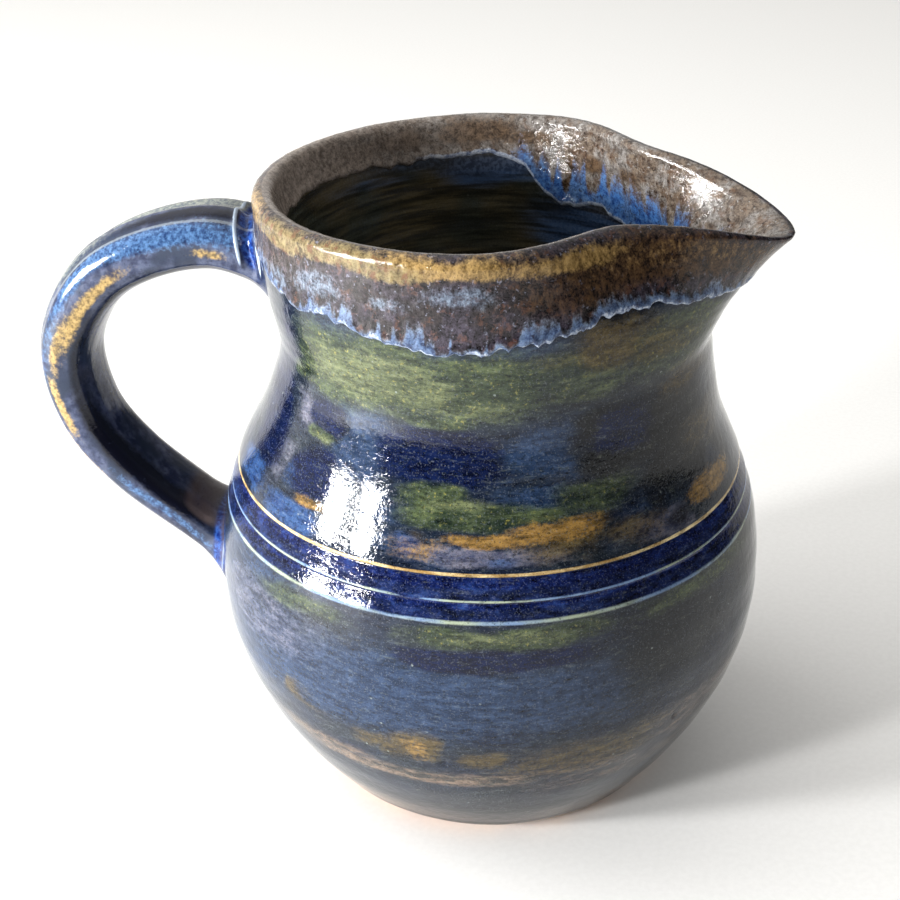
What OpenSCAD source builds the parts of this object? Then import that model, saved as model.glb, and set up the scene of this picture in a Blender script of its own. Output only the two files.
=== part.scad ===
// Hand-thrown stoneware pitcher: thrown body with a pulled spout, a pulled strap
// handle luted on at two joints, and the fired glaze coats.
// Millimetres. +Z is up, the origin is the centre of the base, +X points down the spout.

/* [Body] */
// Height of the lip above the table, away from the spout
height = 125; // [115:1:135]
// Radius of the flat foot
foot_r = 35.5; // [32:0.5:40]
// Radius of the clay at the widest part of the belly
belly_r = 54.3; // [50:0.1:58]
// Height of the widest part of the belly
belly_z = 44; // [38:1:48]
// Radius of the clay at the waist of the neck
neck_r = 40.6; // [38:0.2:42]
// Height of the waist of the neck
neck_z = 97; // [94:1:102]
// How far the neck leans out again below the lip
neck_flare = 2.6; // [1:0.1:4]
// How far the pull of the spout leans the neck towards it
neck_lean = 1.9; // [0:0.1:2.5]
// Thickness of the thrown wall
wall_t = 5; // [4:0.1:6]
// Thickness of the floor
floor_t = 7; // [5:0.5:9]
// Radius of the rounded lip bead
lip_bead_r = 1.6; // [1.3:0.1:2.2]

/* [Grooves] */
// Height of the upper cut edge
groove_top_z = 69.8; // [68:0.1:71]
// Height of the middle cut edge
groove_mid_z = 65.6; // [64:0.1:67]
// Height of the lower cut edge
groove_low_z = 62.3; // [61:0.1:63]
// Depth of the upper groove, under its cut edge
groove_depth = 1.1; // [0.6:0.1:1.5]

/* [Spout] */
// How far the spout is pulled out beyond the round lip
spout_reach = 10.4; // [6:0.2:14]
// Half angle of the pulled tip, seen from above
spout_half_angle = 18; // [15:1:26]
// How far the tip hangs below the rest of the lip
spout_drop = 6.9; // [3:0.1:9]
// How far the two thumbs press the lip in beside the spout
throat_pinch = 7; // [2:0.1:8]
// Angle from the spout to each pressed place
throat_angle = 44; // [38:1:50]
// Height at which the pull begins
spout_start_z = 97; // [90:1:104]
// How much longer than wide the pull leaves the round of the lip
lip_oval = 0.5; // [0:0.1:1.5]

/* [Handle] */
// Width of the clay strap at the neck
strap_w_top = 16.4; // [14:0.2:20]
// Width of the clay strap at the belly
strap_w_low = 15.6; // [13:0.2:19]
// Thickness of the clay strap at the neck
strap_t_top = 11.4; // [9:0.2:12]
// Thickness of the clay strap at the belly
strap_t_low = 8; // [7:0.2:10]
// Depth of the finger groove down the back of the strap
strap_groove = 0.7; // [0:0.1:1]
// How far the luted joints spread at the wall
joint_spread = 2; // [1.5:0.1:3.5]
// Angle by which the handle misses the line of the spout
handle_turn = 6; // [0:0.5:8]

/* [Glaze] */
// Thickness of the glaze outside and on the handle
glaze_t = 0.5; // [0.3:0.05:0.7]
// Thickness of the glaze inside
liner_t = 0.4; // [0.3:0.05:0.6]
// Thickness of the second coat over the rim
rim_t = 0.5; // [0.4:0.05:0.9]
// Height at which the outside glaze stops above the table
bare_foot_z = 2.5; // [1.5:0.5:5]
// Height of the lower edge of the rim coat, outside
rim_edge_z = 107; // [102:1:109]
// Height of the lower edge of the rim coat, inside
rim_inner_z = 110; // [106:1:113]

/* [Hidden] */

$fn = 96;
lower_power = 1.88;      // how lean the belly is below its widest part
shoulder_power = 1.25;   // how full the shoulder is above it
flare_power = 2.2;       // how soon the neck takes up its flare
spout_power = 1.6;       // how the pull grows up the neck
throat_spread = 25.6;    // degrees over which each thumb presses
tip_round = 3.5;         // degrees over which the tip is rounded
lip_z = height - lip_bead_r - rim_t;
lip_r = neck_r + neck_flare - lip_bead_r;
neck_base_z = 71;        // the round wall ends and the leaning neck begins
lean_rise = 25;          // height over which the neck takes up its lean
wall_step = 4;           // height between the rings of the pulled neck
around = 72;             // corners around each ring of the pulled neck
crowding = 20;           // degrees by which those corners crowd to the spout
seam = 0.03;             // the pulled neck stands this much inside the round wall below it
over_top = 4;            // how far a cutting solid runs past the edge that it cuts
lip_blend_z = 116;       // the plain wall ends and the lip bead begins
bead_from = -45;         // the bead's arc, outside to inside
bead_to = 225;
bead_step = 45;
floor_flat_r = 25;
floor_top_z = 19;        // the floor's curve meets the wall
floor_step = 15;
foot_bevel = 1;
eps = 0.4;               // how far a cut edge takes to drop

// --- the round profile -------------------------------------------------------
function smooth_r(z) =
    z < belly_z ? belly_r - (belly_r - foot_r) * pow(1 - z / belly_z, lower_power)
    : z < neck_z ? (belly_r + neck_r) / 2 + (belly_r - neck_r) / 2
        * cos(180 * pow((z - belly_z) / (neck_z - belly_z), shoulder_power))
    : neck_r + neck_flare * (1 - pow(1 - min((z - neck_z) / (lip_z - neck_z), 1), flare_power));

// depth of the two cut grooves: each drops under an upper edge and ramps back out
function cut(z, top, low, depth) =
    z <= low || z >= top ? 0
    : z > top - eps ? depth * (top - z) / eps
    : depth * (z - low) / (top - eps - low);
function outer_r(z) = smooth_r(z)
    - cut(z, groove_top_z, groove_mid_z, groove_depth)
    - cut(z, groove_mid_z, groove_low_z, groove_depth * 0.7);
function inner_r(z) = smooth_r(z) - wall_t;

groove_levels = [groove_low_z, groove_mid_z - eps, groove_mid_z,
                 groove_top_z - eps, groove_top_z];
// heights of the outline between two levels, with the cut edges where they belong
function levels(from, to) = concat(
    [from],
    [for (z = [wall_step:wall_step:60]) if (z > from + 1 && z < to - 1) z],
    [for (z = groove_levels) if (z > from && z < to) z],
    [for (z = [72:wall_step:neck_z * 2]) if (z > from + 1 && z < to - 1) z],
    [to]);
function turned_over(list) = [for (i = [len(list) - 1:-1:0]) list[i]];

function outside(from, to, grow = 0) = [for (z = levels(from, to)) [outer_r(z) + grow, z]];
function inside(from, to, shrink = 0) = [for (z = levels(from, to)) [inner_r(z) - shrink, z]];
function bead(grow) = [for (a = [bead_from:bead_step:bead_to])
    [lip_r + (lip_bead_r + grow) * cos(a), lip_z + (lip_bead_r + grow) * sin(a)]];
// the floor of the hollow, from the axis out to the wall
function hollow_floor(lift) = concat(
    [[0, floor_t + lift]],
    [for (a = [0:floor_step:90 - floor_step])
        let (rx = inner_r(floor_top_z) - lift - floor_flat_r, rz = floor_top_z - floor_t - lift)
        [floor_flat_r + rx * sin(a), floor_top_z - rz * cos(a)]]);

// --- the pull of the spout ---------------------------------------------------
function turn_of(a) = a > 180 ? a - 360 : a;
function off_tip(a) = sqrt(pow(turn_of(a), 2) + pow(tip_round, 2)) - tip_round;
function tip_share(a) = exp(-pow(off_tip(a) / spout_half_angle, 1.5));
function throat_share(a) = exp(-pow((abs(turn_of(a)) - throat_angle) / throat_spread, 2));
function pull(z) = z <= spout_start_z ? 0
    : pow((z - spout_start_z) / (lip_z - spout_start_z), spout_power);
function pulled(p, a) =
    let (r = p[0] - seam + pull(p[1]) * (spout_reach * tip_share(a)
            - throat_pinch * throat_share(a) + lip_oval * cos(2 * a)))
    [lean(p[1]) + r * cos(a), r * sin(a), p[1] - pull(p[1]) * spout_drop * tip_share(a)];
function lean(z) = let (t = min(max((z - neck_base_z) / lean_rise, 0), 1))
    neck_lean * t * t * (3 - 2 * t);
function corner(i) = 360 * i / around - crowding * sin(360 * i / around);
function pulled_ring(p) = [for (i = [0:around - 1]) pulled(p, corner(i))];

// --- meshes from rings -------------------------------------------------------
// a solid whose skin runs through every ring and back to the first one
module looped(rings) {
    n = len(rings[0]);
    m = len(rings);
    polyhedron(
        points = [for (ring = rings) each ring],
        faces = [for (j = [0:m - 1], i = [0:n - 1], half = [0, 1])
            let (a = j * n + i, b = j * n + (i + 1) % n,
                 c = ((j + 1) % m) * n + (i + 1) % n, d = ((j + 1) % m) * n + i)
            half == 0 ? [a, c, b] : [a, d, c]]);
}
// a solid bar through open rings, with flat ends
module capped(rings) {
    n = len(rings[0]);
    m = len(rings);
    polyhedron(
        points = [for (ring = rings) each ring],
        faces = concat(
            [for (j = [0:m - 2], i = [0:n - 1], half = [0, 1])
                let (a = j * n + i, b = j * n + (i + 1) % n, c = b + n, d = a + n)
                half == 0 ? [a, c, b] : [a, d, c]],
            [[for (i = [0:n - 1]) i]],
            [[for (i = [n - 1:-1:0]) (m - 1) * n + i]]));
}
module pulled_solid(outline) looped([for (p = outline) pulled_ring(p)]);

// --- the strap handle --------------------------------------------------------
// the strap's centre line from inside the neck to inside the belly, [x, z]
strap_path = [[-34, 107.5], [-52, 113.2], [-72, 107], [-82.8, 92],
              [-82, 76], [-74, 63.3], [-60.5, 51.3], [-49.5, 41.5]];
strap_spans = len(strap_path) - 1;
rings_per_span = 5;
strap_corners = 20;
strap_square = 0.8;      // 1 is an ellipse, less is squarer
joint_len_top = 0.09;    // share of the strap's length that each joint covers,
joint_len_low = 0.1;     // measured from outside the wall
joint_at_top = 0.07;
joint_at_low = 0.93;

function spline(p0, p1, p2, p3, t) = 0.5 * (2 * p1 + (p2 - p0) * t
    + (2 * p0 - 5 * p1 + 4 * p2 - p3) * t * t + (3 * p1 - p0 - 3 * p2 + p3) * t * t * t);
function path_point(i) = i < 0 ? 2 * strap_path[0] - strap_path[1]
    : i > strap_spans ? 2 * strap_path[strap_spans] - strap_path[strap_spans - 1]
    : strap_path[i];
function strap_at(s) = let (u = min(max(s, 0), 0.9999) * strap_spans, k = floor(u))
    spline(path_point(k - 1), path_point(k), path_point(k + 1), path_point(k + 2), u - k);
function unit(v) = v / norm(v);
function strap_dir(s) = unit(strap_at(s + 0.004) - strap_at(s - 0.004));
function signed_pow(v, e) = sign(v) * pow(abs(v), e);
// how far the luted clay stands out from the strap at share s of its length
function joint_grow(s) = joint_spread * (
    pow(max(0, 1 - max(0, s - joint_at_top) / joint_len_top), 2)
    + pow(max(0, 1 - max(0, joint_at_low - s) / joint_len_low), 2));
function strap_ring(s, grow) =
    let (p = strap_at(s), dir = strap_dir(s), out = [-dir[1], dir[0]] * -1,
         w = strap_w_top + (strap_w_low - strap_w_top) * s + 2 * grow,
         t = strap_t_top + (strap_t_low - strap_t_top) * s + 2 * grow)
    [for (k = [0:strap_corners - 1])
        let (a = 360 * k / strap_corners,
             y = -w / 2 * signed_pow(cos(a), strap_square),
             n = t / 2 * signed_pow(sin(a), strap_square)
                 - (sin(a) > 0 ? strap_groove * exp(-pow(y / (0.18 * w), 2)) : 0))
        [p[0] + out[0] * n, y, p[1] + out[1] * n]];
function shares(from, to) = let (n = ceil((to - from) * strap_spans * rings_per_span))
    [for (i = [0:n]) from + (to - from) * i / n];
module strap_bar(from, to, grow = 0) capped([for (s = shares(from, to)) strap_ring(s, grow)]);
module strap_cover(from, to, under, over) looped(concat(
    [for (s = shares(from, to)) strap_ring(s, joint_grow(s) * over[0] + over[1])],
    [for (s = turned_over(shares(from, to))) strap_ring(s, joint_grow(s) * under[0] + under[1])]));
module on_handle_side() rotate([0, 0, handle_turn]) children();
// everything inside the clay's outer face, to cut the handle's ends to the wall
module wall_envelope() {
    rotate_extrude() polygon(concat([[0, 20]], outside(20, neck_base_z), [[0, neck_base_z]]));
    translate([neck_lean, 0, 0]) rotate_extrude() polygon(concat(
        [[0, neck_base_z + lean_rise]],
        outside(neck_base_z + lean_rise, lip_blend_z),
        [[0, lip_blend_z]]));
}

// --- the sub-parts -----------------------------------------------------------
module body() {
    color("peru") {
        rotate_extrude() polygon(concat(
            [[0, 0], [foot_r - foot_bevel, 0]],
            outside(foot_bevel, neck_base_z),
            turned_over(inside(floor_top_z, neck_base_z)),
            turned_over(hollow_floor(0))));
        pulled_solid(concat(
            outside(neck_base_z, lip_blend_z),
            bead(0),
            turned_over(inside(neck_base_z, lip_blend_z))));
    }
}

module handle() {
    color("sandybrown") on_handle_side() difference() {
        strap_bar(0, 1);
        wall_envelope();
    }
}

module handle_upper_joint() {
    color("burlywood") on_handle_side() difference() {
        strap_cover(0.02, joint_at_top + joint_len_top * 0.8, [0, 0], [1, 0]);
        wall_envelope();
    }
}

module handle_lower_joint() {
    color("burlywood") on_handle_side() difference() {
        strap_cover(joint_at_low - joint_len_low * 0.8, 0.99, [0, 0], [1, 0]);
        wall_envelope();
    }
}

module outer_glaze() {
    color("darkslateblue") difference() {
        union() {
            rotate_extrude() polygon(concat(
                outside(bare_foot_z, neck_base_z, glaze_t),
                turned_over(outside(bare_foot_z, neck_base_z))));
            pulled_solid(concat(
                outside(neck_base_z, rim_edge_z, glaze_t),
                turned_over(outside(neck_base_z, rim_edge_z))));
        }
        on_handle_side() strap_bar(joint_at_low - joint_len_low, 1, joint_spread);
    }
}

// the space inside the pot up to height top, smaller by lift on every side
module hollow(top, lift) {
    rotate_extrude() polygon(concat(
        hollow_floor(lift),
        inside(floor_top_z, neck_base_z, lift),
        [[0, neck_base_z]]));
    capped([for (p = inside(neck_base_z, top, lift)) pulled_ring(p)]);
}

module liner_glaze() {
    color("midnightblue") difference() {
        hollow(rim_inner_z, 0);
        hollow(rim_inner_z + over_top, liner_t);
    }
}

module rim_glaze() {
    color("saddlebrown") difference() {
        pulled_solid(concat(
            outside(rim_edge_z, lip_blend_z, rim_t),
            bead(rim_t),
            turned_over(inside(rim_inner_z, lip_blend_z, rim_t)),
            inside(rim_inner_z, lip_blend_z),
            turned_over(bead(0)),
            turned_over(outside(rim_edge_z, lip_blend_z))));
        difference() {
            on_handle_side() strap_bar(0, joint_at_top + joint_len_top, joint_spread);
            translate([neck_lean, 0, 0]) cylinder(r = neck_r, h = 2 * height);
        }
    }
}

module handle_glaze() {
    color("royalblue") on_handle_side() difference() {
        strap_cover(0.02, 0.99, [1, 0], [1, glaze_t]);
        wall_envelope();
    }
}

body();
handle();
handle_upper_joint();
handle_lower_joint();
outer_glaze();
liner_glaze();
rim_glaze();
handle_glaze();
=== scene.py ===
"""Looks of the hand-thrown ceramic pitcher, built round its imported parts.

Shapes are worked out in millimetres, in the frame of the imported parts: +Z up from
the middle of the base, +X down the spout, the handle on the -X side. Every mesh is
written in metres.
"""

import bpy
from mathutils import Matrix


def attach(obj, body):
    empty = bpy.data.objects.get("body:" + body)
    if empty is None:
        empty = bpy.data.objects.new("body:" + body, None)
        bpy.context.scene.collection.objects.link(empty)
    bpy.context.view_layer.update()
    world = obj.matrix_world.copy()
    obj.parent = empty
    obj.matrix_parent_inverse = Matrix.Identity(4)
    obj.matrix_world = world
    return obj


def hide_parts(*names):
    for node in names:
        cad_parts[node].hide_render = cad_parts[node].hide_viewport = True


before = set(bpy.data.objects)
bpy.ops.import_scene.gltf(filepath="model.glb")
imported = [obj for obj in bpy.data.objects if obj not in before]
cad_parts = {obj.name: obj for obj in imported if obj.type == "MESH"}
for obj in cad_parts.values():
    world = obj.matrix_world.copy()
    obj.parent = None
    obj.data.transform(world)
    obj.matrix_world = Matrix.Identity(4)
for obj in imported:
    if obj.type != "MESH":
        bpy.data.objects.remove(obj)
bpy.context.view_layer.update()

import math

import bpy
import numpy as np
from mathutils import Matrix

MM = 0.001

# ------------------------------------------------------------------ dimensions, mm
HEIGHT = 125.0
FOOT_R, BELLY_R, BELLY_Z = 35.5, 54.3, 44.0
NECK_R, NECK_Z, NECK_FLARE, NECK_LEAN = 40.6, 97.0, 2.6, 1.9
WALL, FLOOR_T = 5.0, 7.0
BEAD_R = 1.6
GROOVE_TOP, GROOVE_MID, GROOVE_LOW, GROOVE_DEPTH = 69.8, 65.6, 62.3, 1.1
SPOUT_REACH, SPOUT_HALF, SPOUT_DROP = 10.4, 18.0, 6.9
THROAT_PINCH, THROAT_AT, THROAT_SPREAD = 7.0, 44.0, 25.6
PULL_FROM, TIP_ROUND, LIP_OVAL = 97.0, 3.5, 0.5
LOWER_POWER, SHOULDER_POWER, FLARE_POWER, PULL_POWER = 1.88, 1.25, 2.2, 1.6
LEAN_FROM, LEAN_RISE = 71.0, 25.0
GLAZE, LINER, RIM = 0.5, 0.4, 0.5
SEATED = 0.3                # how far a coat's mesh reaches into the clay
BARE_FOOT = 2.5
LIP_Z = HEIGHT - BEAD_R - RIM
LIP_R = NECK_R + NECK_FLARE - BEAD_R
LIP_FROM = 113.0
FLOOR_FLAT_R, FLOOR_TOP = 25.0, 19.0

STRAP_PATH = np.array([(-34, 107.5), (-52, 113.2), (-72, 107), (-82.8, 92),
                       (-82, 76), (-74, 63.3), (-60.5, 51.3), (-49.5, 41.5)], float)
STRAP_W, STRAP_T = (16.4, 15.6), (11.4, 8.0)
STRAP_SQUARE = 0.8
HANDLE_TURN = 6.0


# ------------------------------------------------------------------ small mathematics
def smoothstep(lo, hi, x):
    t = np.clip((x - lo) / (hi - lo), 0, 1)
    return t * t * (3 - 2 * t)


def hill(x, centre, spread):
    return np.exp(-(((x - centre) / spread) ** 2))


def turned(a, centre=0.0):
    """Angle from centre to a in degrees, between -180 and 180."""
    return (a - centre + 180) % 360 - 180


def lattice(cell, seed):
    """A repeatable number from 0 to 1 for every whole-numbered cell of space."""
    h = cell[..., 0] * 374761393 + cell[..., 1] * 668265263 + cell[..., 2] * 1103515245
    h = (h + seed * 144269504) & 0xFFFFFFFF
    h = ((h ^ (h >> 13)) * 1274126177) & 0xFFFFFFFF
    return ((h ^ (h >> 16)) & 0xFFFF) / 65535.0


def cloud(p, size, seed=1, octaves=3):
    """Smooth noise from 0 to 1 at points p, with lumps of the given size in mm."""
    total, weight, gain = 0.0, 0.0, 1.0
    q = p / np.asarray(size, float)
    for octave in range(octaves):
        base = np.floor(q).astype(np.int64)
        t = q - base
        t = t * t * (3 - 2 * t)
        value = 0.0
        for corner in range(8):
            step = np.array([corner & 1, corner >> 1 & 1, corner >> 2 & 1])
            share = np.prod(np.where(step, t, 1 - t), axis=-1)
            value = value + share * lattice(base + step, seed + octave * 17)
        total, weight, gain = total + gain * value, weight + gain, gain * 0.5
        q = q * 2.03 + 11.7
    return total / weight


def round_curve(points, a):
    """A smooth closed curve of height over azimuth through given (azimuth, height) points."""
    pts = sorted((az % 360, h) for az, h in points)
    x = np.array([p[0] for p in pts])
    y = np.array([p[1] for p in pts])
    x = np.concatenate([x - 360, x, x + 360])
    y = np.concatenate([y, y, y])
    fine = np.arange(-360, 720, 1.0)
    rough = np.interp(fine, x, y)
    window = np.hanning(13)
    soft = np.convolve(rough, window / window.sum(), mode="same")
    return np.interp(np.asarray(a) % 360, fine, soft)


# ------------------------------------------------------------------ the pot's outline
def smooth_r(z):
    z = np.asarray(z, float)
    low = BELLY_R - (BELLY_R - FOOT_R) * np.clip(1 - z / BELLY_Z, 0, 1) ** LOWER_POWER
    t = np.clip((z - BELLY_Z) / (NECK_Z - BELLY_Z), 0, 1) ** SHOULDER_POWER
    shoulder = (BELLY_R + NECK_R) / 2 + (BELLY_R - NECK_R) / 2 * np.cos(np.pi * t)
    t = np.clip((z - NECK_Z) / (LIP_Z - NECK_Z), 0, 1)
    flare = NECK_R + NECK_FLARE * (1 - (1 - t) ** FLARE_POWER)
    return np.where(z < BELLY_Z, low, np.where(z < NECK_Z, shoulder, flare))


def cut(z, top, low, depth, edge=0.4):
    down = depth * (top - z) / edge
    up = depth * (z - low) / (top - edge - low)
    return np.where((z <= low) | (z >= top), 0, np.where(z > top - edge, down, up))


STEP = 0.02
GROOVE_LEVELS = np.arange(58, 74, STEP)
CLAY_CUT = (cut(GROOVE_LEVELS, GROOVE_TOP, GROOVE_MID, GROOVE_DEPTH)
            + cut(GROOVE_LEVELS, GROOVE_MID, GROOVE_LOW, GROOVE_DEPTH * 0.7))
SOFTENED_BY = hill(np.arange(-30, 31) * STEP, 0, 0.17)
GLAZE_CUT = np.convolve(CLAY_CUT, SOFTENED_BY / SOFTENED_BY.sum(), mode="same")


def groove_shift(a):
    """The grooves run a little out of level, as a hand-held tool cuts them."""
    return 0.4 * np.cos(np.radians(turned(a, -165)))


def pull(z):
    return np.clip((z - PULL_FROM) / (LIP_Z - PULL_FROM), 0, None) ** PULL_POWER


def lean(z):
    return NECK_LEAN * smoothstep(0, 1, (z - LEAN_FROM) / LEAN_RISE)


def tip_share(a):
    off = np.sqrt(turned(a) ** 2 + TIP_ROUND ** 2) - TIP_ROUND
    return np.exp(-((off / SPOUT_HALF) ** 1.5))


def throat_share(a):
    return hill(np.abs(turned(a)), THROAT_AT, THROAT_SPREAD)


def pulled(r, z, a):
    """Points of the pot from radius, height and azimuth, with lean and spout applied."""
    p = pull(z)
    r = r + p * (SPOUT_REACH * tip_share(a) - THROAT_PINCH * throat_share(a)
                 + LIP_OVAL * np.cos(2 * np.radians(a)))
    turn = np.radians(a)
    return np.stack([lean(z) + r * np.cos(turn), r * np.sin(turn),
                     z - p * SPOUT_DROP * tip_share(a)], axis=-1)


def lip_lift(z):
    """How far the inner wall leans out to meet the lip's bead."""
    whole = LIP_R - BEAD_R - (NECK_R + NECK_FLARE - WALL)
    return whole * np.clip((z - LIP_FROM) / (LIP_Z - LIP_FROM), 0, 1) ** 1.5


def round_points(r, z, a):
    turn = np.radians(a)
    return np.stack([r * np.cos(turn), r * np.sin(turn), z + 0 * turn], axis=-1)


# ------------------------------------------------------------------ meshes from rings
SHARP = 50      # degrees; edges that bend more than this are shown as creases


def ring_mesh(name, rings, closed=False, first_pole=None, last_pole=None, masks=None):
    """A smooth mesh through rings of points, shut by a loop or by a pole at each end."""
    rows, cols = rings.shape[:2]
    points = rings.reshape(-1, 3)
    grid = np.arange(rows * cols).reshape(rows, cols)
    nxt = np.roll(grid, -1, axis=1)
    if closed:
        low, high = grid, np.roll(grid, -1, axis=0)
        low_n, high_n = nxt, np.roll(nxt, -1, axis=0)
    else:
        low, high, low_n, high_n = grid[:-1], grid[1:], nxt[:-1], nxt[1:]
    faces = [np.stack([low, low_n, high_n, high], axis=-1).reshape(-1, 4)]
    extra = []
    for pole, row, flip in ((first_pole, 0, True), (last_pole, rows - 1, False)):
        if pole is not None:
            tip = np.full(cols, len(points) + len(extra))
            fan = [grid[row], nxt[row], tip] if not flip else [nxt[row], grid[row], tip]
            faces.append(np.stack(fan, axis=-1))
            extra.append(pole)
    if extra:
        points = np.concatenate([points, np.array(extra, float)])

    def volume():
        total = 0.0
        for f in faces:
            p = points[f]
            for k in range(1, f.shape[1] - 1):
                total += np.einsum("ij,ij->i", p[:, 0], np.cross(p[:, k], p[:, k + 1])).sum()
        return total

    if volume() < 0:
        faces = [f[:, ::-1] for f in faces]
    mesh = bpy.data.meshes.new(name)
    loops = np.concatenate([f.ravel() for f in faces]).astype(np.int32)
    sizes = np.concatenate([np.full(len(f), f.shape[1]) for f in faces])
    starts = np.concatenate([[0], np.cumsum(sizes)[:-1]]).astype(np.int32)
    mesh.vertices.add(len(points))
    mesh.vertices.foreach_set("co", (points * MM).astype(np.float32).ravel())
    mesh.loops.add(len(loops))
    mesh.loops.foreach_set("vertex_index", loops)
    mesh.polygons.add(len(sizes))
    mesh.polygons.foreach_set("loop_start", starts)
    mesh.update(calc_edges=True)
    mesh.validate()
    mesh.polygons.foreach_set("use_smooth", np.ones(len(sizes), bool))
    mesh.set_sharp_from_angle(angle=math.radians(SHARP))
    for label, channels in (masks or {}).items():
        layer = mesh.color_attributes.new(label, "FLOAT_COLOR", "POINT")
        colour = np.zeros((len(points), 4), np.float32)
        for k, channel in enumerate(channels):
            flat = np.broadcast_to(channel, rings.shape[:2]).ravel()
            colour[:len(flat), k] = flat
            colour[len(flat):, k] = flat[-1]
        layer.data.foreach_set("color", colour.ravel())
    piece = bpy.data.objects.new(name, mesh)
    bpy.context.scene.collection.objects.link(piece)
    return piece


def painted(table, turn, along):
    """How strongly a table's patches cover each point, 0.5 at a patch's edge. A patch is
    (degrees round, mm along, half width in degrees, half height in mm, strength)."""
    cover = np.zeros(np.broadcast(turn, along).shape)
    for at_turn, at, half_turn, half_along, strength in table:
        off = np.abs(turned(turn, at_turn)) / half_turn, np.abs(along - at) / half_along
        reach = (off[0] ** 3 + off[1] ** 3) ** (1 / 3)
        cover = np.maximum(cover, strength * np.clip(1.5 - reach, 0, 1))
    return cover


def patches(a, z, p, table, seed, wander=(5.0, 1.3)):
    """Cover by patches whose edges wander by that many degrees and mm."""
    lumps = (9, 9, 5)
    return painted(table, a + (cloud(p, lumps, seed) - 0.5) * 2 * wander[0],
                   z + (cloud(p, lumps, seed + 5) - 0.5) * 2 * wander[1])


# ------------------------------------------------------------------ materials
def srgb(red, green, blue):
    """Linear colour from the 0 to 255 values that a screen shows."""
    out = []
    for v in (red, green, blue):
        v = v / 255
        out.append(v / 12.92 if v <= 0.04045 else ((v + 0.055) / 1.055) ** 2.4)
    return (*out, 1.0)


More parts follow.
